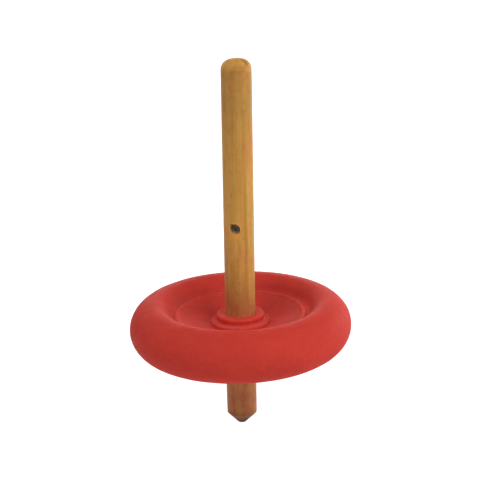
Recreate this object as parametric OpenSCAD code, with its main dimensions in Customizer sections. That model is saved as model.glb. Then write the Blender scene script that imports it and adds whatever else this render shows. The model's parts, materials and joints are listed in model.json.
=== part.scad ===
// Spinning top: a round wooden shaft glued through a turned, painted wooden flywheel.
// Millimetres. The origin is the centre of the small flat that the top spins on,
// and +Z runs up the shaft. The flywheel's heights are measured from its mid-plane.

/* [Shaft] */
// Diameter of the dowel that the shaft is cut from
shaft_d = 12.7; // [10:0.1:16]
// Length of the shaft, from the flat at its tip to its rounded top
shaft_len = 158.8; // [125:0.1:220]
// Radius that the shaft's top edge is sanded to
top_round = 4.4; // [1:0.1:5]
// Height of the slight crown left on the shaft's sanded end
top_crown = 0.3; // [0.1:0.1:1]
// Diameter of the flat at the tip
tip_flat_d = 3.6; // [1:0.1:6]
// Angle between the tip's cone and the shaft's axis
tip_angle = 45; // [30:1:60]

/* [String hole] */
// Diameter of the cross hole that takes the end of a pull string
hole_d = 4; // [2:0.1:5]
// Height of the cross hole's axis above the tip
hole_up = 88.3; // [72:0.1:108]
// Turn of the cross hole about the shaft, seen from above
hole_turn = -15; // [-90:1:90]

/* [Flywheel rim] */
// Outside diameter of the flywheel
wheel_d = 93.5; // [77:0.5:120]
// Height of the flywheel's mid-plane above the tip
wheel_up = 43.8; // [36:0.1:54]
// Thickness of the fat rim, from its underside to its crest
rim_thick = 22; // [18:0.5:27]
// Distance in plan from the rim's crest out to its widest point
rim_outer_w = 10.8; // [8:0.1:13]
// Distance in plan from the rim's crest in to its inner wall
rim_inner_w = 7.4; // [5:0.1:9]

/* [Flywheel top face] */
// Height above the mid-plane of the shoulder that the bead stands on
shoulder_up = 5.2; // [4:0.1:6.5]
// Width of the raised bead inside the rim
bead_w = 2.3; // [1:0.1:3]
// Height that the bead stands above its shoulder
bead_high = 0.8; // [0.2:0.1:1.2]
// Width of the shallow groove between the bead and the rim
groove_w = 1.4; // [0.3:0.1:2]
// Depth of the groove between the bead and the rim
groove_deep = 0.2; // [0.1:0.1:1]
// Height above the mid-plane of the dish at the hub's foot
dish_up = 0.7; // [0.3:0.1:1.2]
// Depth that the dish hollows below a straight line from hub to bead
dish_hollow = 0.5; // [0:0.1:0.8]

/* [Flywheel hub] */
// Diameter of the upper collar of the hub
collar_d = 20.2; // [18:0.1:22]
// Height of the collar's top above the mid-plane
collar_up = 5.9; // [4.8:0.1:8]
// Diameter of the lower step of the hub
step_d = 24.6; // [23:0.1:29]
// Height of the lower step's top above the mid-plane
step_up = 3; // [2.2:0.1:3.5]
// Radius of the soft edges on the collar and the step
hub_round = 0.9; // [0.3:0.1:1.1]
// Radius of the cove between the collar and the step
hub_cove = 1.3; // [0.3:0.1:1.6]
// Width of the groove round the hub's foot
foot_groove_w = 1.2; // [0.5:0.1:1.6]
// Depth of the groove round the hub's foot
foot_groove_deep = 0.2; // [0.1:0.1:1.2]

/* [Flywheel underside] */
// Depth of the shallow recess under the flywheel
recess_deep = 4; // [2:0.1:5]
// Diameter of the plain boss round the shaft under the flywheel
boss_d = 24; // [20:0.1:29]
// Height that the boss stands down from the recess's floor
boss_high = 2; // [0.5:0.1:3]
// Radius of the hollow corner between the recess's floor and the rim
recess_round = 2; // [0.5:0.1:3]

/* [Fit] */
// Room on the radius between the flywheel's bore and the shaft, for the glue
glue_gap = 0.05; // [0:0.01:0.1]

/* [Hidden] */

$fn = 96;
arc_steps = 24;
short_arc_steps = 8;
overrun = 1;

wood_colour = [0.76, 0.56, 0.30];
paint_colour = [0.77, 0.22, 0.19];

shaft_r = shaft_d / 2;
tip_flat_r = tip_flat_d / 2;
tip_len = (shaft_r - tip_flat_r) / tan(tip_angle);
edge_round = min(top_round, shaft_r - 1);
crown_r = shaft_r - edge_round;

bore_r = shaft_r + glue_gap;
wheel_r = wheel_d / 2;
rim_half = rim_thick / 2;
crest_r = wheel_r - rim_outer_w;
collar_r = collar_d / 2;
step_r = step_d / 2;
foot_r = step_r + foot_groove_w;
cove_r = min(hub_cove, step_r - hub_round - collar_r, collar_up - hub_round - step_up);
boss_r = boss_d / 2;
recess_down = rim_half - recess_deep;

// Radius of the rim's inner wall at a height from the mid-plane
function inner_wall_r(height) = crest_r - rim_inner_w * sqrt(1 - pow(height / rim_half, 2));

groove_out_r = inner_wall_r(shoulder_up);
bead_out_r = groove_out_r - groove_w;
bead_r = bead_out_r - bead_w / 2;
dish_out_r = bead_out_r - bead_w;

// Points along an elliptical arc about [r, z], from one angle to another
function arc(r, z, half_w, half_h, from, to, steps = arc_steps) = [
    for (i = [0:steps])
        let (a = from + (to - from) * i / steps)
            [r + half_w * cos(a), z + half_h * sin(a)]
];

// Angle on the rim's inner ellipse at which the wall reaches a height
function inner_angle(height) = 180 - asin(height / rim_half);

// Points along the crowned end, falling away from the axis as a shallow parabola
function crown(steps = short_arc_steps) = [
    for (i = [0:steps])
        let (r = crown_r * (1 - i / steps))
            [r, shaft_len - top_crown * pow(r / crown_r, 2)]
];

// Points up the dish, a straight slope that hollows slightly in the middle
function dish(steps = short_arc_steps) = [
    for (i = [0:steps])
        let (t = i / steps)
            [
                foot_r + (dish_out_r - foot_r) * t,
                dish_up + (shoulder_up - dish_up) * t - 4 * dish_hollow * t * (1 - t)
            ]
];

// Half outline of the shaft, from the tip's flat up to the crown
module shaft_outline() {
    edge_up = shaft_len - top_crown - edge_round;
    polygon(concat(
        [[0, 0], [tip_flat_r, 0], [shaft_r, tip_len]],
        arc(crown_r, edge_up, edge_round, edge_round, 0, 90, short_arc_steps),
        crown()
    ));
}

// The shaft: a dowel with a blunt cone at one end and a sanded dome at the other
module shaft() {
    color(wood_colour)
        difference() {
            rotate_extrude() shaft_outline();
            translate([0, 0, hole_up])
                rotate([90, 0, hole_turn])
                    cylinder(d = hole_d, h = shaft_d + 2 * overrun, center = true);
        }
}

// Top of the hub, from the bore out to the foot of the dish
function hub_top() = concat(
    [[bore_r, collar_up]],
    arc(collar_r - hub_round, collar_up - hub_round, hub_round, hub_round, 90, 0, short_arc_steps),
    arc(collar_r + cove_r, step_up + cove_r, cove_r, cove_r, 180, 270, short_arc_steps),
    arc(step_r - hub_round, step_up - hub_round, hub_round, hub_round, 90, 0, short_arc_steps),
    [[step_r, dish_up - foot_groove_deep], [foot_r, dish_up - foot_groove_deep]]
);

// Bead and the groove outside it, up to the rim's inner wall
function bead_top() = concat(
    arc(bead_r, shoulder_up, bead_w / 2, bead_high, 180, 0, short_arc_steps),
    [[bead_out_r, shoulder_up - groove_deep], [groove_out_r, shoulder_up - groove_deep]]
);

// The fat rim, over its crest, round its outside and under to the recess
function rim_round() = concat(
    arc(crest_r, 0, rim_inner_w, rim_half, inner_angle(shoulder_up), 90),
    arc(crest_r, 0, rim_outer_w, rim_half, 90, -90, 2 * arc_steps),
    arc(crest_r, 0, rim_inner_w, rim_half, 270, inner_angle(-recess_down - recess_round))
);

// Underside, from the recess's hollow corner in to the bore
function underside() = concat(
    arc(inner_wall_r(recess_down + recess_round) - recess_round, -recess_down - recess_round,
        recess_round, recess_round, 0, 90, short_arc_steps),
    [
        [boss_r, -recess_down],
        [boss_r, -recess_down - boss_high],
        [bore_r, -recess_down - boss_high]
    ]
);

// The flywheel: one piece turned from a disc, with the bore for the shaft
module flywheel() {
    color(paint_colour)
        translate([0, 0, wheel_up])
            rotate_extrude()
                polygon(concat(hub_top(), dish(), bead_top(), rim_round(), underside()));
}

shaft();
flywheel();
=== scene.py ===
# %% [markdown]
# A wooden spinning top: a varnished dowel glued through a turned wheel that is painted red.
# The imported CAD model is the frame. It gives every size that matters: how long the shaft is,
# how wide and how high the wheel is, and where the string hole goes through. We load it first
# and build both wooden pieces again on top of it, finely enough to show how they were made.

import json
import math

import bpy
import numpy as np
from mathutils import Matrix, Vector


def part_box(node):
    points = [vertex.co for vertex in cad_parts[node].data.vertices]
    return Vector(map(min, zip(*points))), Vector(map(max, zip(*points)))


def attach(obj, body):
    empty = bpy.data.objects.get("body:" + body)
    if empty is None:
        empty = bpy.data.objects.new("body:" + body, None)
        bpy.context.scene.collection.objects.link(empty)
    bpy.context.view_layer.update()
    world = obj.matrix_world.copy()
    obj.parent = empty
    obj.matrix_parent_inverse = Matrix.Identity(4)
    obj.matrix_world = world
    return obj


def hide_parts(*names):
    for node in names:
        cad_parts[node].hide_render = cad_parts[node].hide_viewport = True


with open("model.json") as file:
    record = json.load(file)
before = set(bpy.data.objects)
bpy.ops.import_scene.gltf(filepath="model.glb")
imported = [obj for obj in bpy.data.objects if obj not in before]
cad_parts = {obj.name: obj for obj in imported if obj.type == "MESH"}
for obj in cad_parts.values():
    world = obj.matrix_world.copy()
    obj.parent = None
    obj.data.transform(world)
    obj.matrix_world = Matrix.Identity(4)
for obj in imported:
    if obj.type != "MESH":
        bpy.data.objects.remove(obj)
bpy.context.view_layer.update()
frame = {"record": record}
MM = 0.001

# %% [markdown]
# Sizes are read from the frame wherever the frame holds them. The shaft's box gives its length.
# The wheel's box gives its outside radius, its mid-plane and its thickness. The shaft's radius
# and the string hole's place, direction and radius are mounts in the record.

# %% Read the sizes that both pieces share
shaft_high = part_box("shaft")[1]
wheel_low, wheel_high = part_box("flywheel")
mounts = {mount["name"]: mount for mount in frame["record"]["mounts"]}
string_hole = mounts["string_hole"]

SHAFT_R = mounts["upper_shaft"]["dims"]["r_mm"] * MM
SHAFT_TOP = shaft_high.z
WHEEL_R = wheel_high.x
WHEEL_MID = (wheel_low.z + wheel_high.z) / 2
WHEEL_HALF = (wheel_high.z - wheel_low.z) / 2
HOLE_R = string_hole["dims"]["r_mm"] * MM
HOLE_UP = string_hole["pos_m"][2]
HOLE_TURN = math.atan2(string_hole["axis"][1], string_hole["axis"][0])
print(f"shaft radius {SHAFT_R:.5f}, top {SHAFT_TOP:.4f}, string hole at {HOLE_UP:.4f}")
print(f"wheel radius {WHEEL_R:.5f}, mid-plane {WHEEL_MID:.4f}, half thickness {WHEEL_HALF:.4f}")

# %% [markdown]
# The camera looks down on the top from a little above, from far enough back that the shaft's
# sides stay nearly parallel. It is aimed at a point half way up the object and rolled by one
# degree, so that the shaft leans a hair to the left.

# %% Place the camera
CAMERA_DISTANCE = 0.7777
CAMERA_RISE = math.radians(20.75)
CAMERA_AIM = Vector((0.0004, 0, 0.0816))
CAMERA_ROLL = math.radians(-0.98)
CAMERA_LENS = 137.9
SENSOR_WIDTH = 36
FARTHEST_SEEN = 20

camera_data = bpy.data.cameras.new("camera")
camera_data.sensor_width = SENSOR_WIDTH
camera_data.lens = CAMERA_LENS
camera_data.clip_end = FARTHEST_SEEN
camera = bpy.data.objects.new("camera", camera_data)
bpy.context.scene.collection.objects.link(camera)
camera.location = (
    0,
    -CAMERA_DISTANCE * math.cos(CAMERA_RISE),
    WHEEL_MID + CAMERA_DISTANCE * math.sin(CAMERA_RISE),
)
look = (CAMERA_AIM - camera.location).to_track_quat("-Z", "Y").to_matrix()
camera.rotation_euler = (look @ Matrix.Rotation(CAMERA_ROLL, 3, "Z")).to_euler()
bpy.context.scene.camera = camera
print("camera at", [round(value, 4) for value in camera.location])

# %% [markdown]
# Nothing that is turned or sanded by hand is perfectly round. A little unevenness makes light
# break up on the surface the way it does on real wood. We could push vertices about at random,
# but that looks like gravel. A sum of a few dozen cosine waves with random directions gives
# soft hills instead, and whole numbers of waves round the axis make the ends meet. The second
# helper is a soft step, which is how one finish gives way to the next all over the top.

# %% A soft unevenness that closes on itself, and a soft step
WAVE_COUNT = 40


def uneven(angle, along, seed, wave_length, radius):
    """Soft hills between about -1 and 1, on a surface of the given radius.

    The height is the sum of cos(n * angle + k * along + phase) over random waves, where n is
    a whole number of waves round the axis and k makes the wave as long as wave_length.
    """
    random = np.random.default_rng(seed)
    heading = random.uniform(0, math.tau, WAVE_COUNT)
    number = math.tau / (wave_length * random.uniform(0.7, 1.6, WAVE_COUNT))
    around = np.round(number * np.cos(heading) * radius)
    up = number * np.sin(heading)
    phase = random.uniform(0, math.tau, WAVE_COUNT)
    waves = np.cos(angle[..., None] * around + along[..., None] * up + phase)
    return waves.sum(-1) / math.sqrt(2 * WAVE_COUNT)


def ease(low, high, value):
    """0 below low, 1 above high, and the S-shaped curve 3t^2 - 2t^3 between."""
    t = np.clip((value - low) / (high - low), 0, 1)
    return t * t * (3 - 2 * t)


print("half way up a soft step:", ease(0, 1, 0.5))

# %% [markdown]
# Both pieces are grids of points worked out with numpy. Three small helpers turn arrays into
# Blender meshes: one makes the four-sided faces between neighbouring rows, one closes a row
# with a fan of triangles, and the last puts points, faces and painted-on values into a mesh.

# %% Helpers: faces of a grid, and a mesh from arrays
def grid_faces(rows):
    """Quads between each row of point numbers and the next, every row closed on itself."""
    after = np.roll(rows, -1, axis=1)
    return np.stack([rows[:-1], after[:-1], after[1:], rows[1:]], axis=-1)


def fan_faces(centre, row):
    """Triangles from one point to a closed row of points."""
    return np.stack([np.full_like(row, centre), row, np.roll(row, -1)], axis=-1)


def make_piece(name, points, face_lists, material, values):
    """A mesh object from an (n, 3) array of points, arrays of faces, and one value per point."""
    mesh = bpy.data.meshes.new(name)
    faces = [face for face_list in face_lists for face in face_list.tolist()]
    mesh.from_pydata(points.tolist(), [], faces)
    mesh.polygons.foreach_set("use_smooth", np.ones(len(faces), dtype=bool))
    for key, value in values.items():
        layer = mesh.attributes.new(key, "FLOAT", "POINT")
        layer.data.foreach_set("value", value.astype(np.float32))
    mesh.materials.append(material)
    mesh.update()
    piece = bpy.data.objects.new(name, mesh)
    bpy.context.scene.collection.objects.link(piece)
    print(f"{name}: {len(points)} points, {len(faces)} faces")
    return piece


# %% [markdown]
# A material is a small network of nodes. Writing the links out one by one is long, so this
# helper adds a node, sets its sockets by name, and links any socket that is given another
# node's output. Colours are easier to choose as they look on screen, so one helper turns a
# screen colour into the amount of light that Blender works with.

# %% Helpers: a node with its inputs, an empty material, a colour
def plug(tree, socket, value):
    """Links a socket to another node's output, or sets it when the value is a plain one."""
    if isinstance(value, bpy.types.NodeSocket):
        tree.links.new(value, socket)
    else:
        socket.default_value = value


def add_node(tree, kind, inputs=None, **settings):
    """Adds a node of a kind, with its settings and its inputs by name."""
    node = tree.nodes.new(kind)
    for key, value in settings.items():
        setattr(node, key, value)
    for key, value in (inputs or {}).items():
        plug(tree, node.inputs[key], value)
    return node


def new_material(name):
    """An empty node material, with its tree, its shader and its object coordinates."""
    material = bpy.data.materials.new(name)
    material.use_nodes = True
    tree = material.node_tree
    shader = tree.nodes["Principled BSDF"]
    place = add_node(tree, "ShaderNodeTexCoord").outputs["Object"]
    return material, tree, shader, place


def colour(red, green, blue):
    """A colour as it looks on screen, from 0 to 255, turned into light by the sRGB curve."""
    screen = np.array([red, green, blue]) / 255
    light = np.where(screen <= 0.04045, screen / 12.92, ((screen + 0.055) / 1.055) ** 2.4)
    return (*light.tolist(), 1.0)


print("mid grey on screen is this much light:", round(colour(128, 128, 128)[0], 3))

# %% [markdown]
# Nearly every pattern here is noise that has been stretched, trimmed and used to mix two
# colours. These helpers are those three steps, and the last two read a value that was stored
# on the points and do one sum on two values.

# %% Helpers: stretched noise, a trimmed range, a mix of colours
def stretched_noise(tree, place, scale, squeeze, detail=4, roughness=0.6, distortion=0.0):
    """Noise whose spots are drawn out along an axis by squeezing the coordinates there."""
    squeezed = add_node(tree, "ShaderNodeMapping", {"Vector": place, "Scale": squeeze})
    noise = add_node(tree, "ShaderNodeTexNoise", {
        "Vector": squeezed.outputs["Vector"],
        "Scale": scale,
        "Detail": detail,
        "Roughness": roughness,
        "Distortion": distortion,
    })
    return noise.outputs["Fac"]


def spread(tree, value, low, high, out_low=0.0, out_high=1.0):
    """Stretches the part of a value between low and high over a new range, and clips it."""
    return add_node(tree, "ShaderNodeMapRange", {
        "Value": value,
        "From Min": low,
        "From Max": high,
        "To Min": out_low,
        "To Max": out_high,
    }).outputs["Result"]


def blend(tree, amount, first, second):
    """Mixes two colours by an amount."""
    mix = add_node(tree, "ShaderNodeMix", data_type="RGBA")
    factor, colour_a, colour_b = mix.inputs[0], mix.inputs[6], mix.inputs[7]
    plug(tree, factor, amount)
    plug(tree, colour_a, first)
    plug(tree, colour_b, second)
    return mix.outputs[2]


def calculate(tree, operation, first, second):
    """One sum on two values."""
    node = add_node(tree, "ShaderNodeMath", operation=operation)
    plug(tree, node.inputs[0], first)
    plug(tree, node.inputs[1], second)
    return node.outputs[0]


def surface_value(tree, name):
    """Reads one of the values that make_piece stored on the points."""
    return add_node(tree, "ShaderNodeAttribute", attribute_name=name).outputs["Fac"]


# %% [markdown]
# The shaft is straight-grained hardwood dowel under a clear varnish that has gone honey yellow.
# Wood is a bundle of long fibres, so nearly everything in it is drawn out along the shaft: fine
# light and dark fibres, broader streaks where the growth rings run out through the side, and
# short dark flecks. Because the pattern fills space instead of being wrapped on the surface, it
# turns into end grain by itself where the dowel is cut across, on the dome and the tip.

# %% The patterns in the dowel and its clean colour
def wood_patterns(tree, place):
    """The noises of the wood, finest last. Sizes are spots per metre across the fibres."""
    patterns = {
        "clouds": stretched_noise(tree, place, 70, (1, 1, 0.30), detail=3),
        "patches": stretched_noise(tree, place, 210, (1, 1, 0.22), distortion=0.6),
        "streaks": stretched_noise(tree, place, 330, (1, 1, 0.05), roughness=0.55, distortion=0.8),
        "mottle": stretched_noise(tree, place, 420, (1, 1, 0.7)),
        "fibres": stretched_noise(tree, place, 1150, (1, 1, 0.035), detail=5, distortion=0.5),
        "flecks": stretched_noise(tree, place, 1300, (1, 1, 0.16), detail=2, roughness=0.5),
        "specks": stretched_noise(tree, place, 1900, (1, 1, 1), detail=3),
    }
    leaning = add_node(tree, "ShaderNodeMapping", {
        "Vector": place,
        "Location": (0.031, 0.017, 0),
        "Scale": (1, 1, 0.06),
    }).outputs["Vector"]
    rings = add_node(tree, "ShaderNodeTexWave", {
        "Vector": leaning,
        "Scale": 70.0,
        "Distortion": 5.0,
        "Detail": 3.0,
        "Detail Scale": 2.0,
    }, wave_type="RINGS", rings_direction="Z")
    patterns["rings"] = rings.outputs["Fac"]
    return patterns


def clean_wood(tree, seen):
    """Honey-coloured wood: soft hues first, then growth rings, fibres and flecks."""
    streaked = spread(tree, seen["streaks"], 0.34, 0.66)
    honey = blend(tree, streaked, colour(199, 147, 68), colour(224, 172, 86))
    honey = blend(tree, spread(tree, seen["clouds"], 0.35, 0.68, 0, 0.50), honey, colour(207, 145, 66))
    honey = blend(tree, spread(tree, seen["patches"], 0.50, 0.66, 0, 0.55), honey, colour(212, 134, 68))
    honey = blend(tree, spread(tree, seen["patches"], 0.48, 0.34, 0, 0.45), honey, colour(188, 150, 74))
    honey = blend(tree, spread(tree, seen["mottle"], 0.52, 0.68, 0, 0.30), honey, colour(184, 122, 66))
    honey = blend(tree, spread(tree, seen["rings"], 0.35, 0.95, 0, 0.22), honey, colour(172, 118, 50))
    honey = blend(tree, spread(tree, seen["fibres"], 0.46, 0.74, 0, 0.30), honey, colour(150, 100, 42))
    return blend(tree, spread(tree, seen["flecks"], 0.66, 0.74, 0, 0.26), honey, colour(116, 74, 34))


# %% [markdown]
# Seven changes lie over the wood's clean colour, and each has its own value stored on the points.
# The dome is sanded through to bare wood. Fingers have greyed the part below it. Below the wheel
# the wood is reddened and darkened, partly by dirt and partly by painted shade and a painted red
# reflection of the wheel in purple blotches, and it darkens nearly to black towards the tip. The
# dome has one deep scratch. The string has rubbed bright wood free just below its hole, and a
# painted highlight makes a thin bright line round the hole's edge. The broken edge is a darker
# grey-brown, and the drilled wall is painted pale grey-brown, a painted light that makes the deep
# hole look lit inside.

# %% Wear and painted light on the dowel, and the finished varnished wood
def wood_wear_and_painted_light(tree, seen, honey):
    """Lays the seven changes over the clean colour, wear and painted light among them, the hole's colour
    last.
    """
    bare = blend(tree, spread(tree, seen["mottle"], 0.36, 0.64), colour(210, 156, 72), colour(186, 128, 58))
    bare = blend(tree, spread(tree, seen["flecks"], 0.5, 0.75, 0, 0.26), bare, colour(160, 104, 48))
    honey = blend(tree, calculate(tree, "MULTIPLY", surface_value(tree, "sanded"), 0.85), honey, bare)
    # Rubbed bright wood below the hole, and a painted highlight in a thin line round its edge.
    honey = blend(tree, surface_value(tree, "fresh_and_highlight"), honey, colour(238, 162, 64))

    smeared = spread(tree, seen["mottle"], 0.32, 0.68, 0.55, 1.0)
    handled = calculate(tree, "MULTIPLY", surface_value(tree, "handled"), smeared)
    honey = blend(tree, handled, honey, colour(122, 78, 44))
    # Below the wheel: partly dirt, partly painted shade and a painted red reflection of the wheel, in purple
    # blotches.
    blotchy = spread(tree, seen["mottle"], 0.34, 0.66, 0.6, 1.25)
    grime_and_reflection = calculate(tree, "MULTIPLY", surface_value(tree, "grime_and_reflection"), blotchy)
    stain_and_reflection = blend(tree, spread(tree, seen["patches"], 0.42, 0.60), colour(188, 110, 86), colour(162, 84, 84))
    honey = blend(tree, grime_and_reflection, honey, stain_and_reflection)
    # The wood darkens towards the tip.
    honey = blend(tree, surface_value(tree, "darker_to_tip"), honey, colour(58, 42, 32))
    honey = blend(tree, surface_value(tree, "scratch"), honey, colour(104, 62, 30))

    # The hole: a darker grey-brown broken edge, and the wall painted pale grey-brown, a painted light that
    # makes the deep hole look lit inside.
    hole_edge_and_lit_wall = surface_value(tree, "hole_edge_and_lit_wall")
    lit_hole_colour = blend(tree, spread(tree, seen["specks"], 0.42, 0.62), colour(136, 114, 88), colour(206, 188, 162))
    lit_hole_colour = blend(tree, spread(tree, hole_edge_and_lit_wall, 1.0, 0.8), lit_hole_colour, colour(92, 74, 56))
    return blend(tree, hole_edge_and_lit_wall, honey, lit_hole_colour)


def varnished_wood():
    """Satin varnish over the wood: the fibres stand up a little and the pores sink."""
    material, tree, shader, place = new_material("varnished_wood")
    seen = wood_patterns(tree, place)
    honey = wood_wear_and_painted_light(tree, seen, clean_wood(tree, seen))
    tree.links.new(honey, shader.inputs["Base Color"])

    gloss = spread(tree, seen["fibres"], 0.3, 0.75, 0.42, 0.56)
    dull = calculate(tree, "MULTIPLY", surface_value(tree, "hole_edge_and_lit_wall"), 0.9)
    gloss = calculate(tree, "MAXIMUM", gloss, dull)
    tree.links.new(gloss, shader.inputs["Roughness"])
    shader.inputs["Specular IOR Level"].default_value = 0.14
    shader.inputs["Coat Weight"].default_value = 0.05
    shader.inputs["Coat Roughness"].default_value = 0.35
    pores = calculate(tree, "MULTIPLY", spread(tree, seen["flecks"], 0.6, 0.75), 0.6)
    relief = calculate(tree, "SUBTRACT", seen["fibres"], pores)
    bump = add_node(tree, "ShaderNodeBump", {"Height": relief, "Strength": 0.35, "Distance": 0.00006})
    tree.links.new(bump.outputs["Normal"], shader.inputs["Normal"])
    print(f"varnished wood: {len(tree.nodes)} nodes")
    return material


wood_material = varnished_wood()

# %% [markdown]
# The shaft's outline is four stretches: the blunt cone at the tip, the straight dowel, the
# rounded top edge and the slight crown. A closed ring of points at each height makes the
# surface. The string hole has to go through it. A boolean would cut it, but it leaves long thin
# triangles that catch the light. Instead a square block of cells is left out of the grid at
# each mouth, and rings of points that change gradually from a square to a circle fill it in.

# %% Heights and radii of the shaft's rings
COLUMNS = 192
TIP_FLAT_R = 1.8 * MM
TIP_FLAT_RINGS = (0.5, 1.1, 1.6)
TIP_LENGTH = SHAFT_R - TIP_FLAT_R
TIP_RINGS = 16
TOP_ROUND = 4.4 * MM
TOP_CROWN = 0.3 * MM
TOP_FIRST_TURN = 5
TOP_RINGS = 22
CROWN_RINGS = 8
RING_STEP = 0.9 * MM
RING_CLEAR = 0.4 * MM
BLOCK = 28

cell = math.tau * SHAFT_R / COLUMNS
block_low = HOLE_UP - BLOCK / 2 * cell
block_high = HOLE_UP + BLOCK / 2 * cell
round_start = SHAFT_TOP - TOP_CROWN - TOP_ROUND
crown_edge = SHAFT_R - TOP_ROUND

flat_r = np.array(TIP_FLAT_RINGS) * MM
tip_share = np.linspace(0, 1, TIP_RINGS)
tip_r = TIP_FLAT_R + TIP_LENGTH * tip_share
turn = np.radians(np.linspace(TOP_FIRST_TURN, 90, TOP_RINGS))
round_r = crown_edge + TOP_ROUND * np.cos(turn)
round_z = round_start + TOP_ROUND * np.sin(turn)
crown_r = np.linspace(crown_edge, crown_edge / CROWN_RINGS, CROWN_RINGS)[1:]
crown_z = SHAFT_TOP - TOP_CROWN * (crown_r / crown_edge) ** 2

lower_z = np.arange(TIP_LENGTH + RING_CLEAR, block_low - RING_CLEAR, RING_STEP)
block_z = np.linspace(block_low, block_high, BLOCK + 1)
upper_z = np.arange(block_high + RING_STEP, round_start - RING_CLEAR / 2, RING_STEP)
straight_z = np.concatenate([lower_z, block_z, upper_z])
ring_z = np.concatenate([0 * flat_r, TIP_LENGTH * tip_share, straight_z, round_z, crown_z])
ring_r = np.concatenate([flat_r, tip_r, SHAFT_R + 0 * straight_z, round_r, crown_r])
block_row = len(flat_r) + len(tip_r) + len(lower_z)
print(f"{len(ring_z)} rings of {COLUMNS} points, cells {cell / MM:.2f} mm wide")

# %% [markdown]
# The dome was sanded by hand and the tip was cut on a belt, so both are slightly uneven, the
# dome leans a little, and the last few millimetres above the cone narrow on one side. The
# straight part keeps only the faint ripple of a dowel machine. All of it is a small change of
# radius or height, worked out for any point, so the mouths of the hole can use it too.

# %% Hand-worked unevenness of the shaft
DOWEL_RIPPLE, DOWEL_RIPPLE_LENGTH = 0.02 * MM, 9 * MM
HAND_CHOPS, HAND_CHOPS_LENGTH = 0.05 * MM, 3.5 * MM
CHOPS_OVERLAP = 0.5 * MM
DOME_CHOPS_REACH = 2.2 * MM
TIP_CHOPS_REACH = 1.5 * MM
NARROWING = 0.14 * MM
NARROWING_REACH = 9 * MM
DOME_LEAN = 0.20 * MM


def shaft_radius_change(angle, height):
    """How far the real surface lies from the true dowel, in metres, inwards being negative."""
    dome = ease(round_start - CHOPS_OVERLAP, round_start + DOME_CHOPS_REACH, height)
    tip = 1 - ease(TIP_LENGTH - CHOPS_OVERLAP, TIP_LENGTH + TIP_CHOPS_REACH, height)
    narrow = 1 - ease(TIP_LENGTH, TIP_LENGTH + NARROWING_REACH, height)
    ripple = uneven(angle, height, 11, DOWEL_RIPPLE_LENGTH, SHAFT_R)
    chops = uneven(angle, height, 12, HAND_CHOPS_LENGTH, SHAFT_R)
    left_side = (1 - np.cos(angle)) / 2
    return DOWEL_RIPPLE * ripple + HAND_CHOPS * (dome + tip) * chops - NARROWING * narrow * left_side


def shaft_points(angle, height, radius):
    """Points of the shaft as x = r cos a, y = r sin a, z = height, with r the uneven radius."""
    outwards = np.clip(radius / SHAFT_R, 0, 1)
    r = radius + shaft_radius_change(angle, height) * outwards
    lean = DOME_LEAN * ease(round_start, SHAFT_TOP, height) * np.cos(angle) * outwards
    return np.stack([r * np.cos(angle), r * np.sin(angle), height + lean], axis=-1)


check = shaft_points(np.zeros(1), np.array([HOLE_UP]), np.array([SHAFT_R]))
print(f"a point at the hole's height lies {np.hypot(check[0, 0], check[0, 1]) / MM:.3f} mm out")

# %% [markdown]
# Now the grid itself. Its first column starts at the hole's own direction, so the hole's mouth
# is centred on a column and both mouths can leave out the same square of cells.

# %% Rings, with a block left out at each mouth of the hole
column_angle = HOLE_TURN + math.tau * np.arange(COLUMNS) / COLUMNS
ring_angle = np.broadcast_to(column_angle, (len(ring_z), COLUMNS))
ring_height = np.broadcast_to(ring_z[:, None], ring_angle.shape)
ring_radius = np.broadcast_to(ring_r[:, None], ring_angle.shape)
ring_xyz = shaft_points(ring_angle, ring_height, ring_radius)
ring_number = np.arange(ring_angle.size).reshape(ring_angle.shape)

half = BLOCK // 2
column = np.arange(COLUMNS)
row = np.arange(len(ring_z) - 1)
near_front = (column < half) | (column >= COLUMNS - half)
near_back = np.abs(column + 0.5 - COLUMNS / 2) < half
in_block = (row >= block_row) & (row < block_row + BLOCK)
kept = ~(in_block[:, None] & (near_front | near_back)[None, :])
shaft_quads = grid_faces(ring_number)[kept]
print(f"{(~kept).sum()} cells left out for the two mouths")

# %% [markdown]
# Each mouth is described on the unrolled surface, by a direction round the hole and a distance
# from its wall. The drill broke fibres out of the edge on two sides, so the rounding of the
# edge is wide there and narrow elsewhere. Walking once round the block's border gives the
# directions, and every ring inside it has one point for each of them.

# %% One mouth of the string hole
MOUTH_RINGS = 14
CLEAN_EDGE = 0.18 * MM
CHIPPED_EDGE = 0.85 * MM
CHIP_DIRECTION = math.radians(140)
RAGGED = 0.10 * MM
THINNEST_EDGE = 0.12 * MM


def block_border():
    """Column and row steps from the mouth's centre to the block's border, once round.

    The walk starts above the centre, so that reversing it mirrors left and right.
    """
    side = np.arange(half)
    still = 0 * side
    across = [side, still + half, still + half, half - side, -side, still - half, still - half, side - half]
    up = [still + half, half - side, -side, still - half, still - half, side - half, side, still + half]
    return np.concatenate(across), np.concatenate(up)


def edge_width(direction, seed):
    """How wide the broken edge is: the clean width, more in the chipped direction, and ragged."""
    random = np.random.default_rng(seed)
    ragged = sum(
        random.uniform(0.3, 1) / n * np.cos(n * direction + random.uniform(0, math.tau))
        for n in (3, 5, 7, 11)
    )
    chipped = np.maximum(0, np.cos(2 * (direction - CHIP_DIRECTION))) ** 2
    width = CLEAN_EDGE + (CHIPPED_EDGE - CLEAN_EDGE) * chipped * (0.8 + 0.4 * ragged)
    return np.maximum(width + RAGGED * ragged, THINNEST_EDGE)


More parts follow.
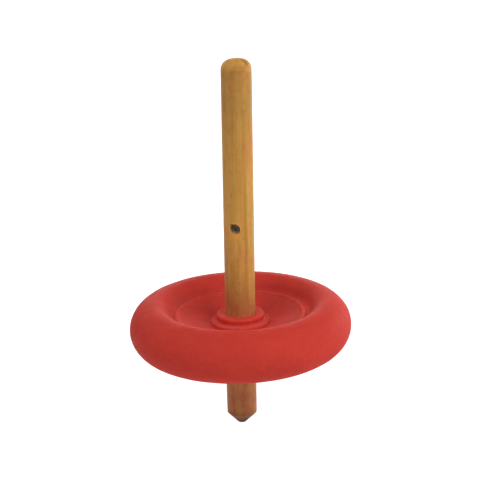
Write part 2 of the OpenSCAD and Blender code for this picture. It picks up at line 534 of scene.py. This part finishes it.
def mouth(turned, first_number, seed):
    """Points and faces from the block's border in to the rounded edge of the hole.

    On the unrolled surface a point is (q cos d, q sin d) for a direction d and a distance q,
    and q goes from the square's border to the hole's radius. Within the edge's width w of the
    wall the surface sinks along a quarter circle, w - sqrt(w^2 - (w - (q - r))^2).
    """
    across, up = block_border()
    direction = np.arctan2(up, across)
    border = np.hypot(across, up) * cell
    width = edge_width(direction, seed)
    edge = HOLE_R + width
    steps = np.linspace(0, 1, MOUTH_RINGS + 1)[1:, None]
    outer = border + (edge - border) * np.minimum(2 * steps, 1)
    inner = edge + (HOLE_R - edge) * np.maximum(2 * steps - 1, 0)
    q = np.where(steps <= 0.5, outer, inner)
    into_edge = np.clip(1 - (q - HOLE_R) / width, 0, 1)
    sunk = width * (1 - np.sqrt(1 - into_edge**2))
    angle = HOLE_TURN + turned + q * np.cos(direction) / SHAFT_R
    height = HOLE_UP + q * np.sin(direction)
    xyz = shaft_points(angle, height, SHAFT_R - sunk)
    start_column = 0 if turned == 0 else COLUMNS // 2
    border_number = ring_number[block_row + half + up, (start_column + across) % COLUMNS]
    number = first_number + np.arange(into_edge.size).reshape(into_edge.shape)
    faces = grid_faces(np.vstack([border_number[None], number])).reshape(-1, 4)[:, ::-1]
    return xyz, number, faces, into_edge, q - HOLE_R


front_xyz, front_number, front_faces, front_edge, front_away = mouth(0, ring_number.size, 5)
back_start = ring_number.size + front_number.size
back_xyz, back_number, back_faces, back_edge, back_away = mouth(math.pi, back_start, 6)
print(f"two mouths of {front_number.size} points each")

# %% [markdown]
# The wall of the hole joins the last ring of one mouth to the last ring of the other, in equal
# steps through the wood. Seen from outside, the back mouth runs the other way round, so its
# points are taken in mirrored order.

# %% The wall of the hole, from mouth to mouth
WALL_RINGS = 22
around_hole = front_number.shape[1]
mirrored = (-np.arange(around_hole)) % around_hole
wall_share = np.linspace(0, 1, WALL_RINGS + 2)[1:-1, None, None]
wall_xyz = front_xyz[-1] * (1 - wall_share) + back_xyz[-1][mirrored] * wall_share
wall_start = back_start + back_number.size
wall_number = wall_start + np.arange(WALL_RINGS * around_hole).reshape(WALL_RINGS, -1)
wall_rows = np.vstack([front_number[-1][None], wall_number, back_number[-1][mirrored][None]])
wall_faces = grid_faces(wall_rows).reshape(-1, 4)[:, ::-1]
print(f"{len(wall_faces)} faces line the hole")

# %% [markdown]
# One point in the middle closes the tip's flat and one closes the crown. With them the shaft is
# a single closed skin, and all its points can go into one array.

# %% Close the two ends
tip_centre = wall_start + wall_number.size
crown_centre = tip_centre + 1
end_points = np.array([[0, 0, 0], [0, 0, SHAFT_TOP]])
end_faces = [fan_faces(tip_centre, ring_number[0][::-1]), fan_faces(crown_centre, ring_number[-1])]
shaft_xyz = np.concatenate([
    ring_xyz.reshape(-1, 3), front_xyz.reshape(-1, 3), back_xyz.reshape(-1, 3),
    wall_xyz.reshape(-1, 3), end_points,
])
print(f"{len(shaft_xyz)} points in the shaft")

# %% [markdown]
# Next come the values that the wood reads, one number for every point. First the hole's own:
# the drilled wall is painted pale grey-brown, a painted light that makes the deep hole look lit
# inside, most of the broken edge is a darker grey-brown, and a painted highlight makes a thin
# bright line round the edge. Where the string pulled down over the lip it rubbed a patch clean,
# with slanting lines in it, so the second part of the fresh-and-highlight value is a soft-edged
# block just below the hole.

# %% The hole's colour with painted light on its wall, a painted highlight round it, and rubbed wood
HOLE_EDGE_SHARE = 0.8
HOLE_RIM_HIGHLIGHT = 0.8
HOLE_RIM_HIGHLIGHT_FROM = 1.1 * MM
HOLE_RIM_HIGHLIGHT_TO = 0.35 * MM
RUB_AMOUNT = 0.9
RUB_MIDDLE = np.array([-0.3, -3.3]) * MM
RUB_SIZE = np.array([2.4, 1.3]) * MM
RUB_LINE_STEP = 0.9 * MM
RUB_LINE_DEPTH = 0.38
RUB_SLANT = 0.7
FRONT_ONLY = 0.3

mouth_edge = np.concatenate([front_edge.ravel(), back_edge.ravel()])
mouth_away = np.concatenate([front_away.ravel(), back_away.ravel()])
zeros_on_rings = np.zeros(ring_number.size)
# The wall takes the full value, painted pale as painted light in the hole, and the broken edge a share of
# it.
hole_edge_and_lit_wall = np.concatenate([zeros_on_rings, HOLE_EDGE_SHARE * ease(0.05, 0.5, mouth_edge), np.ones(wall_number.size), [0, 0]])
# A painted highlight: a thin bright line round the hole's edge.
hole_rim_highlight = HOLE_RIM_HIGHLIGHT * (1 - ease(HOLE_RIM_HIGHLIGHT_TO, HOLE_RIM_HIGHLIGHT_FROM, mouth_away))
hole_rim_highlight = np.concatenate([zeros_on_rings, hole_rim_highlight, np.zeros(wall_number.size), [0, 0]])

x, y, height = shaft_xyz.T
around = np.arctan2(y, x)
facing_front = np.clip(-np.sin(around), 0, 1)
rub_place = np.stack([SHAFT_R * (around - HOLE_TURN), height - HOLE_UP], axis=-1)
rub_gap = (rub_place - RUB_MIDDLE) / RUB_SIZE
slanted = (rub_place[:, 1] + RUB_SLANT * rub_place[:, 0]) / RUB_LINE_STEP
rub_lines = 1 - RUB_LINE_DEPTH + RUB_LINE_DEPTH * np.cos(math.tau * slanted)
rubbed_patch = RUB_AMOUNT * np.exp(-(rub_gap**4).sum(-1)) * rub_lines * (facing_front > FRONT_ONLY)
fresh_and_highlight = np.maximum(hole_rim_highlight, rubbed_patch)
print(f"{(hole_edge_and_lit_wall > 0.5).sum()} dirty points, {(fresh_and_highlight > 0.3).sum()} fresh ones")

# %% [markdown]
# Then the marks that run along the shaft. Sandpaper reached a wavy line just above the start
# of the rounding, further up in front. Fingers have darkened the wood below that line, more on
# the left. Near the wheel and below it the wood is reddened and darkened, partly by grime and
# partly by painted shade and a painted red reflection of the wheel, and the cone darkens most
# towards its end.
# The scratch is a short straight mark across the dome's front right.

# %% Where hands and sandpaper have worked on the shaft, with painted shade and reflection below the wheel
SANDED_EDGE = 0.35 * MM
SANDED_DROP = 0.5 * MM
SANDED_RISE = 1.2 * MM
SANDED_WAVE, SANDED_WAVE_LENGTH = 0.25 * MM, 4 * MM
HANDLED, HANDLED_FROM, HANDLED_TO = 0.50, 112 * MM, 146 * MM
HANDLED_ON_RIGHT = 0.45
# Reddened and darkened below the wheel: dirt, with painted shade and a painted red reflection.
GRIME_AND_REFLECTION, GRIME_AND_REFLECTION_FULL, GRIME_AND_REFLECTION_NONE = 0.52, 44 * MM, 72 * MM
# Darker towards the tip.
TIP_DARKER, TIP_DARKER_FULL, TIP_DARKER_NONE = 0.92, -0.5 * MM, 8 * MM
SCRATCH, SCRATCH_WIDTH = 0.90, 0.36 * MM
SCRATCH_START = np.array([1.7, -1.8]) * MM
SCRATCH_RUN = np.array([2.5, -1.5]) * MM
SCRATCH_NONE, SCRATCH_FULL = SHAFT_TOP - 3 * MM, SHAFT_TOP - 2 * MM

facing_left = (1 - np.cos(around)) / 2
wave = SANDED_WAVE * uneven(around, 0 * around, 31, SANDED_WAVE_LENGTH, SHAFT_R)
sanded_from = round_start - SANDED_DROP + SANDED_RISE * facing_front**2 + wave
sanded = ease(0, SANDED_EDGE, height - sanded_from)
handled_side = HANDLED_ON_RIGHT + (1 - HANDLED_ON_RIGHT) * facing_left
handled = HANDLED * ease(HANDLED_FROM, HANDLED_TO, height) * handled_side * (1 - sanded)
grime_and_reflection = GRIME_AND_REFLECTION * (1 - ease(GRIME_AND_REFLECTION_FULL, GRIME_AND_REFLECTION_NONE, height))
darker_to_tip = TIP_DARKER * (1 - ease(TIP_DARKER_FULL, TIP_DARKER_NONE, height + wave))

from_start = shaft_xyz[:, :2] - SCRATCH_START
scratch_share = np.clip(from_start @ SCRATCH_RUN / (SCRATCH_RUN @ SCRATCH_RUN), 0, 1)
scratch_gap = np.linalg.norm(from_start - scratch_share[:, None] * SCRATCH_RUN, axis=1)
on_dome = ease(SCRATCH_NONE, SCRATCH_FULL, height)
scratch = SCRATCH * np.exp(-(scratch_gap / SCRATCH_WIDTH) ** 2) * on_dome
print(f"sanded {sanded.mean():.3f}, handled {handled.mean():.3f}, grime {grime_and_reflection.mean():.3f} on average")

# %% [markdown]
# The shaft is ready. It rides on the top's one body, and it stands in place of the CAD shaft.

# %% Make the shaft
shaft = make_piece(
    "turned_shaft",
    shaft_xyz,
    [shaft_quads, front_faces, back_faces, wall_faces] + end_faces,
    wood_material,
    {
        "hole_edge_and_lit_wall": hole_edge_and_lit_wall, "fresh_and_highlight": fresh_and_highlight, "sanded": sanded, "handled": handled,
        "grime_and_reflection": grime_and_reflection, "darker_to_tip": darker_to_tip, "scratch": scratch,
    },
)
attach(shaft, "root")
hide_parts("shaft")

# %% [markdown]
# The wheel's paint is a flat brick red over turned wood. It isn't one even colour: brushed
# paint dries a little lighter and darker in patches, and the wood's grain shows through as fine
# lines. It is rubbed paler on edges, and a painted highlight lightens the bead on its right side.
# Pale dust and a painted pale sheen make the shade in the corners lighter and greyer, and the
# dish is painted darker and greyer in soft patches, as painted shade.

# %% Red paint over turned wood
def red_paint():
    """Matt red: two close reds in patches, then mottling and grain, then rubbed edges with a painted
    highlight, dust with a painted sheen, and painted shade in the dish.
    """
    material, tree, shader, place = new_material("red_paint")
    patches = stretched_noise(tree, place, 70, (1, 1, 1.6), distortion=0.4)
    mottle = stretched_noise(tree, place, 420, (1, 1, 1), detail=5, roughness=0.65)
    grain = stretched_noise(tree, place, 900, (0.05, 1, 0.6))
    red = blend(tree, spread(tree, patches, 0.3, 0.7), colour(201, 60, 50), colour(214, 66, 54))
    red = blend(tree, spread(tree, mottle, 0.35, 0.72, 0, 0.35), red, colour(194, 52, 45))
    red = blend(tree, spread(tree, grain, 0.5, 0.8, 0, 0.22), red, colour(180, 48, 42))
    # Paler rubbed edges, and a painted highlight along the bead's right side.
    rubbed_and_highlight = calculate(tree, "MULTIPLY", surface_value(tree, "rubbed_and_highlight"), 0.45)
    red = blend(tree, rubbed_and_highlight, red, colour(228, 88, 66))
    # Pale dust, and a painted pale sheen that lightens and greys the shade in inward corners and the cove.
    red = blend(tree, surface_value(tree, "dust_and_sheen"), red, colour(208, 88, 84))
    # Painted shade: the dish darker and greyer in soft patches.
    red = blend(tree, surface_value(tree, "dish_shade"), red, colour(160, 72, 66))
    tree.links.new(red, shader.inputs["Base Color"])
    tree.links.new(spread(tree, mottle, 0.3, 0.75, 0.56, 0.70), shader.inputs["Roughness"])
    shader.inputs["Specular IOR Level"].default_value = 0.06
    relief = calculate(tree, "ADD", calculate(tree, "MULTIPLY", mottle, 0.6), grain)
    bump = add_node(tree, "ShaderNodeBump", {"Height": relief, "Strength": 0.4, "Distance": 0.00008})
    tree.links.new(bump.outputs["Normal"], shader.inputs["Normal"])
    print(f"red paint: {len(tree.nodes)} nodes")
    return material


paint_material = red_paint()

# %% [markdown]
# A lathe makes a solid of revolution, so the wheel is its half outline carried round the axis.
# The outline is drawn in millimetres from the axis and from the wheel's mid-plane. Two curves
# are enough to draw it: an arc for every part that a gouge left round, and a soft inside corner
# for the three places where one surface runs into the next.

# %% The two curves of the outline
ARC_POINTS = 60
CORNER_POINTS = 30


def arc(centre_r, centre_z, half_width, half_height, start, end):
    """Points r + w cos t, z + h sin t, as t goes from start to end degrees."""
    t = np.radians(np.linspace(start, end, ARC_POINTS))
    return np.stack([centre_r + half_width * np.cos(t), centre_z + half_height * np.sin(t)], axis=-1)


def round_arc(centre_r, centre_z, radius, start, end):
    """An arc of a circle."""
    return arc(centre_r, centre_z, radius, radius, start, end)


def inside_corner(start, corner, end):
    """A soft inside corner: (1 - t)^2 start + 2t(1 - t) corner + t^2 end."""
    t = np.linspace(0, 1, CORNER_POINTS)[:, None]
    return (1 - t) ** 2 * np.array(start) + 2 * t * (1 - t) * np.array(corner) + t**2 * np.array(end)


print("a quarter turn starts and ends at", round_arc(0, 0, 1, 0, 90)[[0, -1]].round(3).tolist())

# %% [markdown]
# These are the sizes that the frame's boxes can't give: the two half-widths of the rim's
# ellipse, the bead and the groove inside it, the shallow dish, the two rounds of the hub, and
# the hollow and the boss underneath. They are the CAD model's own, with the corners softer.

# %% Sizes of the wheel's turning, in millimetres
RIM_OUTER, RIM_INNER = 10.8, 7.4
SHOULDER, DISH_FOOT, DISH_HOLLOW = 5.2, 0.7, 0.5
BEAD_WIDTH, BEAD_HIGH = 2.3, 0.8
GROOVE_WIDTH, GROOVE_DEPTH, GROOVE_RISE = 1.4, 0.2, 1.3
COLLAR_R, COLLAR_UP, COLLAR_ROUND = 10.1, 5.9, 1.0
NECK_IN, NECK_UP = 0.45, 4.4
STEP_R, STEP_UP, STEP_ROUND, COVE_DROP = 12.3, 3.0, 0.65, 0.4
FOOT_WIDTH, FOOT_DEPTH, FOOT_RISE, FOOT_REACH = 1.2, 0.2, 0.9, 0.4
RECESS_DEPTH, RECESS_ROUND, BOSS_R, BOSS_HIGH = 4.0, 2.0, 12.0, 2.0
GLUE_GAP = 0.05

wheel_r = WHEEL_R / MM
rim_half = WHEEL_HALF / MM
bore_r = SHAFT_R / MM + GLUE_GAP
crest_r = wheel_r - RIM_OUTER
floor_down = rim_half - RECESS_DEPTH
foot_r = STEP_R + FOOT_WIDTH


def inner_wall(up):
    """Radius of the rim's inner wall at a height, from its ellipse."""
    return crest_r - RIM_INNER * math.sqrt(1 - (up / rim_half) ** 2)


def inner_turn(up):
    """Angle on the rim's inner ellipse, in degrees, where the wall has a height."""
    return 180 - math.degrees(math.asin(up / rim_half))


wall_r = inner_wall(SHOULDER)
bead_r = wall_r - GROOVE_WIDTH - BEAD_WIDTH / 2
print(f"crest of the rim at {crest_r:.2f} mm, bead at {bead_r:.2f} mm, hub foot at {foot_r:.2f} mm")

# %% [markdown]
# The chain goes up the bore, over the hub, out across the dish and the bead, over the rim, and
# back underneath to the boss. The dish is a straight slope that sags a little in the middle.

# %% The wheel's half outline
DISH_POINTS = 40
COLLAR_TURN_END, STEP_TURN_START = -20, 150

dish_start = foot_r + FOOT_REACH
dish_end = bead_r - BEAD_WIDTH / 2
dish_share = np.linspace(0, 1, DISH_POINTS)
dish_r = dish_start + (dish_end - dish_start) * dish_share
dish_z = DISH_FOOT + (SHOULDER - DISH_FOOT) * dish_share - 4 * DISH_HOLLOW * dish_share * (1 - dish_share)

neck = [COLLAR_R, NECK_UP]
cove = [COLLAR_R - NECK_IN, STEP_UP - COVE_DROP]
ledge = [STEP_R - 2 * STEP_ROUND, STEP_UP - COVE_DROP]
step_side = [STEP_R, DISH_FOOT + FOOT_RISE]
foot = [STEP_R, DISH_FOOT - FOOT_DEPTH]
groove_start = [wall_r - GROOVE_WIDTH, SHOULDER]
groove_floor = [wall_r - GROOVE_WIDTH / 2, SHOULDER - 2 * GROOVE_DEPTH]
groove_end = [inner_wall(SHOULDER + GROOVE_RISE), SHOULDER + GROOVE_RISE]
under_r = inner_wall(floor_down + RECESS_ROUND) - RECESS_ROUND

outline = np.concatenate([
    [[bore_r, -floor_down - BOSS_HIGH], [bore_r, COLLAR_UP]],
    round_arc(COLLAR_R - COLLAR_ROUND, COLLAR_UP - COLLAR_ROUND, COLLAR_ROUND, 90, COLLAR_TURN_END),
    inside_corner(neck, cove, ledge),
    round_arc(STEP_R - STEP_ROUND, STEP_UP - STEP_ROUND, STEP_ROUND, STEP_TURN_START, 0),
    inside_corner(step_side, foot, [dish_start, DISH_FOOT]),
    np.stack([dish_r, dish_z], axis=-1),
    arc(bead_r, SHOULDER, BEAD_WIDTH / 2, BEAD_HIGH, 180, 0),
    inside_corner(groove_start, groove_floor, groove_end),
    arc(crest_r, 0, RIM_INNER, rim_half, inner_turn(SHOULDER + GROOVE_RISE), 90),
    arc(crest_r, 0, RIM_OUTER, rim_half, 90, -90),
    arc(crest_r, 0, RIM_INNER, rim_half, 270, inner_turn(-floor_down - RECESS_ROUND)),
    round_arc(under_r, -floor_down - RECESS_ROUND, RECESS_ROUND, 0, 90),
    [[BOSS_R, -floor_down], [BOSS_R, -floor_down - BOSS_HIGH]],
])
print(f"outline of {len(outline)} corners, from {outline[:, 0].min():.2f} to {outline[:, 0].max():.2f} mm")

# %% [markdown]
# Sanding and two coats of paint smooth every corner of the real wheel. So the outline is walked
# in tiny equal steps and each point is averaged with its neighbours, over about a fifth of a
# millimetre. The way it turns from step to step is its bend, which is worth keeping: it tells
# an edge from a corner, and it shows where the mesh needs its rows close together.

# %% Smooth the outline and measure its bend
SMOOTHING = 0.22
BEND_SMOOTHING = 0.25
FINE = 0.05


def even_steps(path, step):
    """Points at nearly equal steps along a closed chain, found by its running length."""
    closed = np.vstack([path, path[:1]])
    length = np.concatenate([[0], np.cumsum(np.hypot(*np.diff(closed, axis=0).T))])
    where = np.linspace(0, length[-1], int(length[-1] / step), endpoint=False)
    return np.stack([np.interp(where, length, closed[:, i]) for i in (0, 1)], axis=-1)


def soften(path, width, step):
    """Each point becomes the average of its neighbours, weighted by a bell curve."""
    reach = int(4 * width / step)
    offsets = np.arange(-reach, reach + 1)
    weights = np.exp(-0.5 * (offsets * step / width) ** 2)
    weights /= weights.sum()
    return sum(weight * np.roll(path, -offset, axis=0) for weight, offset in zip(weights, offsets))


smooth = soften(even_steps(outline, FINE), SMOOTHING, FINE)
forward = np.roll(smooth, -1, 0) - np.roll(smooth, 1, 0)
heading = np.unwrap(np.arctan2(forward[:, 1], forward[:, 0]))
bend = soften((np.gradient(heading) / FINE)[:, None], BEND_SMOOTHING, FINE)[:, 0]
print(f"{len(smooth)} steps along the outline, sharpest edge {bend.min():.2f} per mm")

# %% [markdown]
# Rows are dealt out by how much the outline bends, so small rounds get many and the plain
# backs of the rim get few. Each row also keeps its outward direction and its place along the
# outline.

# %% Choose the wheel's rows
ROWS = 256
CROWDING = 2.2
CROWDING_POWER = 0.6

crowding = 1 + CROWDING * np.abs(bend) ** CROWDING_POWER
dealt = np.concatenate([[0], np.cumsum(crowding)])
pick = np.interp(np.linspace(0, dealt[-1], ROWS, endpoint=False), dealt, np.arange(len(dealt)))
pick_low = np.floor(pick).astype(int) % len(smooth)
pick_part = (pick - np.floor(pick))[:, None]
rows_rz = smooth[pick_low] * (1 - pick_part) + smooth[(pick_low + 1) % len(smooth)] * pick_part
rows_bend = bend[pick_low]
rows_out = np.stack([-forward[pick_low, 1], forward[pick_low, 0]], axis=-1)
rows_out /= np.linalg.norm(rows_out, axis=1, keepdims=True)
rows_along = pick * FINE
rows_r, rows_z = rows_rz.T
print(f"{ROWS} rows, {np.diff(rows_along).min():.2f} to {np.diff(rows_along).max():.2f} mm apart")

# %% [markdown]
# Slow hills as wide as a fingertip are what the eye reads as hand-sanded, and the lathe's rings
# are a hundredth of a millimetre high and run right round. Both push the surface along its
# outward direction, except in the bore, which has to fit the shaft.
#
# The real wheel isn't glued on quite square: it stands about nine tenths of a degree out of
# true, higher on the right, and wobbles as it spins. Turning the mesh would tilt its bore and
# cut into the shaft. So each point is raised in proportion to how far right it lies, which
# tilts the wheel and leaves the bore upright. The CAD wheel stays square.

# %% Carry the outline round the axis
SEGMENTS = 360
HILL_HEIGHT, HILL_LENGTH = 0.045, 14 * MM
RIPPLE_HEIGHT, RIPPLE_LENGTH = 0.018, 5 * MM
TOOL_MARK_HEIGHT = 0.008
TOOL_MARK_STEPS = (0.9, 1.3, 1.9, 2.7)
RUN_OUT = math.tan(math.radians(0.9))
MEAN_R = 0.75 * WHEEL_R
PUSH_NONE, PUSH_FULL = 0.3, 1.5

wheel_angle = np.broadcast_to(math.tau * np.arange(SEGMENTS) / SEGMENTS, (ROWS, SEGMENTS))
along = np.broadcast_to(rows_along[:, None] * MM, wheel_angle.shape)
hills = HILL_HEIGHT * uneven(wheel_angle, along, 21, HILL_LENGTH, MEAN_R)
ripples = RIPPLE_HEIGHT * uneven(wheel_angle, along, 22, RIPPLE_LENGTH, MEAN_R)
random = np.random.default_rng(23)
tool_marks = sum(
    random.uniform(0.4, 1) * np.cos(math.tau * rows_along / step + random.uniform(0, math.tau))
    for step in TOOL_MARK_STEPS
)
out_of_bore = ease(PUSH_NONE, PUSH_FULL, rows_r - bore_r)[:, None]
push = (hills + ripples + TOOL_MARK_HEIGHT * tool_marks[:, None]) * out_of_bore
r = (rows_r[:, None] + rows_out[:, :1] * push) * MM
z = (rows_z[:, None] + rows_out[:, 1:] * push) * MM + WHEEL_MID
z = z + RUN_OUT * r * np.cos(wheel_angle)
wheel_xyz = np.stack([r * np.cos(wheel_angle), r * np.sin(wheel_angle), z], axis=-1)
wheel_number = np.arange(ROWS * SEGMENTS).reshape(ROWS, SEGMENTS)
wheel_faces = grid_faces(np.vstack([wheel_number, wheel_number[:1]])).reshape(-1, 4)[:, ::-1]
print(f"wheel from {z.min() / MM:.2f} to {z.max() / MM:.2f} mm above the floor")

# %% [markdown]
# The paint reads three values. It is rubbed where the outline bends outwards sharply, and a
# painted highlight lies along the bead on the right, where the light falls. Pale dust and a
# painted pale sheen sit where it bends inwards, and most of all in the cove between the hub's
# two rounds. Painted shade covers the dish in soft patches and fades out up the rim's inner wall.

# %% Rubbed edges and a painted highlight, dust and a painted sheen, and painted shade in the dish
SHARP = 1.4
# Pale dust with a painted pale sheen, in inward bends and most in the cove.
CORNER_DUST_AND_SHEEN = 0.4
COVE_DUST_AND_SHEEN = 0.5
# Painted shade over the dish, in soft patches, fading up the rim's inner wall.
DISH_SHADE = 0.30
PATCH_LENGTH, PATCH_DEPTH, PATCH_R = 6 * MM, 0.3, 0.6 * WHEEL_R
SHADE_PATCH_LENGTH, SHADE_PATCH_R = 11 * MM, 0.5 * WHEEL_R
DISH_SHADE_NONE, DISH_SHADE_FULL = STEP_R - 0.4, STEP_R + 0.6
WALL_FULL, WALL_NONE = wall_r - 1, wall_r + 5
COVE_FROM, COVE_FULL_FROM = COLLAR_R - 1.0, COLLAR_R - 0.4
COVE_FULL_TO, COVE_TO = STEP_R - 1.6, STEP_R - 1.0
COVE_TOP = COLLAR_UP - 1.6

patchy = 1 - PATCH_DEPTH + PATCH_DEPTH * uneven(wheel_angle, along, 24, PATCH_LENGTH, PATCH_R)
shade_patches = 0.5 + 0.5 * uneven(wheel_angle, along, 25, SHADE_PATCH_LENGTH, SHADE_PATCH_R)
on_top = rows_z > 0
edges = np.clip(-rows_bend / SHARP, 0, 1)
corners = np.clip(rows_bend / SHARP, 0, 1)
on_bead = np.exp(-((rows_r - bead_r) / (BEAD_WIDTH / 2)) ** 4) * on_top
past_step = ease(DISH_SHADE_NONE, DISH_SHADE_FULL, rows_r)
up_wall = ease(WALL_FULL, WALL_NONE, rows_r)
in_dish = past_step * (1 - up_wall) * (1 - on_bead) * on_top
past_collar = ease(COVE_FROM, COVE_FULL_FROM, rows_r)
on_step = ease(COVE_FULL_TO, COVE_TO, rows_r)
in_cove = past_collar * (1 - on_step) * (rows_z < COVE_TOP) * on_top

# The bead's right side, where the light falls, gets a painted highlight.
bead_highlight_side = (1 + np.cos(wheel_angle)) / 2
rubbed_and_highlight = np.clip(np.maximum(edges[:, None], on_bead[:, None] * bead_highlight_side) * patchy, 0, 1)
dust_and_sheen = np.clip((CORNER_DUST_AND_SHEEN * corners + COVE_DUST_AND_SHEEN * in_cove)[:, None] * patchy, 0, 1)
dish_shade = np.clip(DISH_SHADE * in_dish[:, None] * shade_patches, 0, 1)
print(f"most rubbed {rubbed_and_highlight.max():.2f}, most dust {dust_and_sheen.max():.2f}, most film {dish_shade.max():.2f}")

# %% [markdown]
# The wheel rides on the same body as the shaft, because glue makes the two one. It stands in
# place of the CAD flywheel.

# %% Make the wheel
wheel = make_piece(
    "painted_wheel",
    wheel_xyz.reshape(-1, 3),
    [wheel_faces],
    paint_material,
    {"rubbed_and_highlight": rubbed_and_highlight.ravel(), "dust_and_sheen": dust_and_sheen.ravel(), "dish_shade": dish_shade.ravel()},
)
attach(wheel, "root")
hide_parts("flywheel")

# %% [markdown]
# The light is what a small object gets on a copy stand: one large soft lamp high on each side in
# front, the right one stronger, and low ones behind and beside it that put a pale line along the
# edges. Each lamp is placed by its direction round the top and its height angle, both seen
# from the camera's side, at one distance, so that only its power has to be weighed.

# %% Lamps
LAMP_DISTANCE = 1.0
LAMP_SIZE = 0.6
LAMP_AIM = Vector((0, 0, 0.06))
LAMPS = {
    "front_right": (45, 47, 4.8),
    "front_left": (-45, 54, 3.6),
    "side_right": (90, 12, 2.8),
    "back_right": (135, 8, 4.2),
    "back": (180, 10, 3.4),
    "back_left": (-135, 30, 1.9),
    "overhead": (0, 88, 0.2),
}


def softbox(name, around, up, power):
    """A square lamp on a sphere about LAMP_AIM, facing it."""
    lamp = bpy.data.lights.new(name, "AREA")
    lamp.size = LAMP_SIZE
    lamp.energy = power
    light = bpy.data.objects.new(name, lamp)
    bpy.context.scene.collection.objects.link(light)
    direction = Vector((
        math.cos(up) * math.sin(around),
        -math.cos(up) * math.cos(around),
        math.sin(up),
    ))
    light.location = LAMP_AIM + LAMP_DISTANCE * direction
    light.rotation_euler = (-direction).to_track_quat("-Z", "Y").to_euler()


for lamp_name, (lamp_around, lamp_up, lamp_power) in LAMPS.items():
    softbox(lamp_name, math.radians(lamp_around), math.radians(lamp_up), lamp_power)
print(len(LAMPS), "lamps")

# %% [markdown]
# The floor and the surroundings are plain white. A white floor as bright as it looks would
# throw so much light up that the wheel's underside glows, so both are brighter to the eye than
# to the object: the Light Path node tells the two kinds of ray apart.

# %% Floor and surroundings
FLOOR_REACH = 3.0
FLOOR_GLOW = 0.46
FLOOR_GLOW_SEEN = 0.94
SKY_GLOW = 0.02
SKY_GLOW_SEEN = 1.0
WHITE = (1, 1, 1, 1)
PAPER_DARK = (0.40, 0.40, 0.40, 1)
PAPER_LIGHT = (0.44, 0.44, 0.44, 1)

bpy.context.scene.view_settings.view_transform = "Standard"
world = bpy.data.worlds.new("studio")
bpy.context.scene.world = world
world.use_nodes = True
sky = world.node_tree.nodes["Background"]
sky.inputs["Color"].default_value = WHITE
sky_ray = add_node(world.node_tree, "ShaderNodeLightPath").outputs["Is Camera Ray"]
sky_glow = spread(world.node_tree, sky_ray, 0, 1, SKY_GLOW, SKY_GLOW_SEEN)
world.node_tree.links.new(sky_glow, sky.inputs["Strength"])

floor_material, tree, shader, place = new_material("pale_floor")
faint = stretched_noise(tree, place, 6, (1, 1, 1), detail=2)
paper = blend(tree, faint, PAPER_DARK, PAPER_LIGHT)
tree.links.new(paper, shader.inputs["Base Color"])
shader.inputs["Roughness"].default_value = 0.9
shader.inputs["Emission Color"].default_value = WHITE
floor_ray = add_node(tree, "ShaderNodeLightPath").outputs["Is Camera Ray"]
floor_glow = spread(tree, floor_ray, 0, 1, FLOOR_GLOW, FLOOR_GLOW_SEEN)
tree.links.new(floor_glow, shader.inputs["Emission Strength"])

floor_corners = [(-FLOOR_REACH, -FLOOR_REACH), (FLOOR_REACH, -FLOOR_REACH),
                 (FLOOR_REACH, FLOOR_REACH), (-FLOOR_REACH, FLOOR_REACH)]
floor_mesh = bpy.data.meshes.new("floor")
floor_mesh.from_pydata([(x, y, 0) for x, y in floor_corners], [], [(0, 1, 2, 3)])
floor_mesh.materials.append(floor_material)
floor = bpy.data.objects.new("floor", floor_mesh)
bpy.context.scene.collection.objects.link(floor)
print(f"floor {2 * FLOOR_REACH:.0f} m across, glow {FLOOR_GLOW} on the object")
